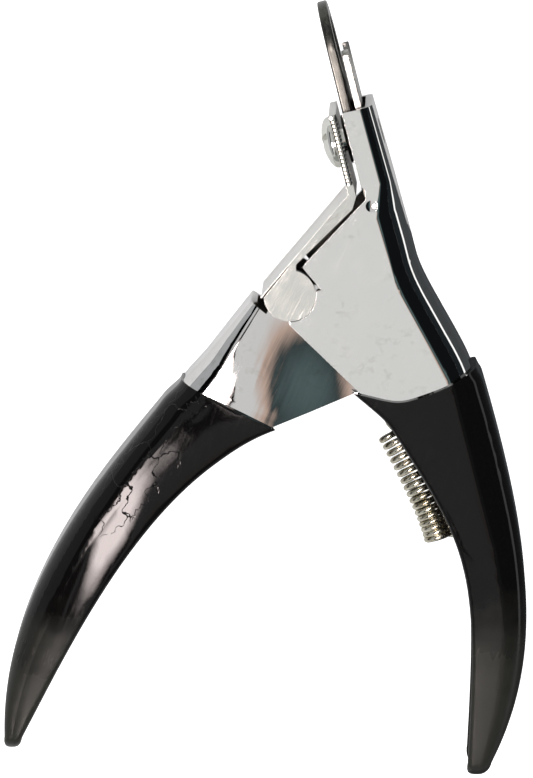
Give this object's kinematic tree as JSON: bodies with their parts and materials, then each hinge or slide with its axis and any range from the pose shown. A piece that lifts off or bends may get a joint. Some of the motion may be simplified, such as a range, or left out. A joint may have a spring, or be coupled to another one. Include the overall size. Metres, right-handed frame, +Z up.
{
  "type": "guillotine nail clipper",
  "caption": "Hand-held guillotine nail clipper for pets: ring plate with nail hole, sliding blade, bent chromed body, sprung lever and dipped black grips.",
  "frame": {"origin": "centre of the bounding box's bottom, on the surface that the tool lies on", "axes": "+Y along the tool from the handle tips to the ring, +X from the moving lever to the fixed handle, +Z up through the tool's width"},
  "size_m": [0.0854, 0.127, 0.0202],
  "materials": {
    "chromed_sheet": "polished chrome plate",
    "plate_steel": "polished steel",
    "blade_steel": "ground lengthwise",
    "spring_wire": "nickel-plated wire",
    "dipped_vinyl": "glossy black dipped coat"
  },
  "bodies": {
    "frame": {"frame_channel": "chromed_sheet", "cover_yoke": "chromed_sheet", "ring_plate": "plate_steel", "clamp_screw": "chromed_sheet", "pivot_pin": "plate_steel", "fixed_grip": "dipped_vinyl", "spring_anchor_pin": "plate_steel", "return_spring": "spring_wire"},
    "lever": {"lever_channel": "chromed_sheet", "lever_grip": "dipped_vinyl", "spring_hook_pin": "plate_steel"},
    "blade": {"blade": "blade_steel"}
  },
  "joints": [
    {"name": "lever_hinge", "type": "hinge", "parent": "frame", "child": "lever", "pos_m": [0.00454, 0.01597, 0.0101], "axis": [0, 0, 1], "range_deg": [0, 35], "stiffness_Nm_per_rad": 0.35, "springref_deg": -5.73, "deforming": ["return_spring"]},
    {"name": "blade_slide", "type": "slide", "parent": "frame", "child": "blade", "axis": [-0.2419, 0.9703, 0], "range_m": [0, 0.0106]}
  ],
  "couplings": [
    {"joint": "blade_slide", "follows": "lever_hinge", "m_per_rad": 0.017229}
  ]
}
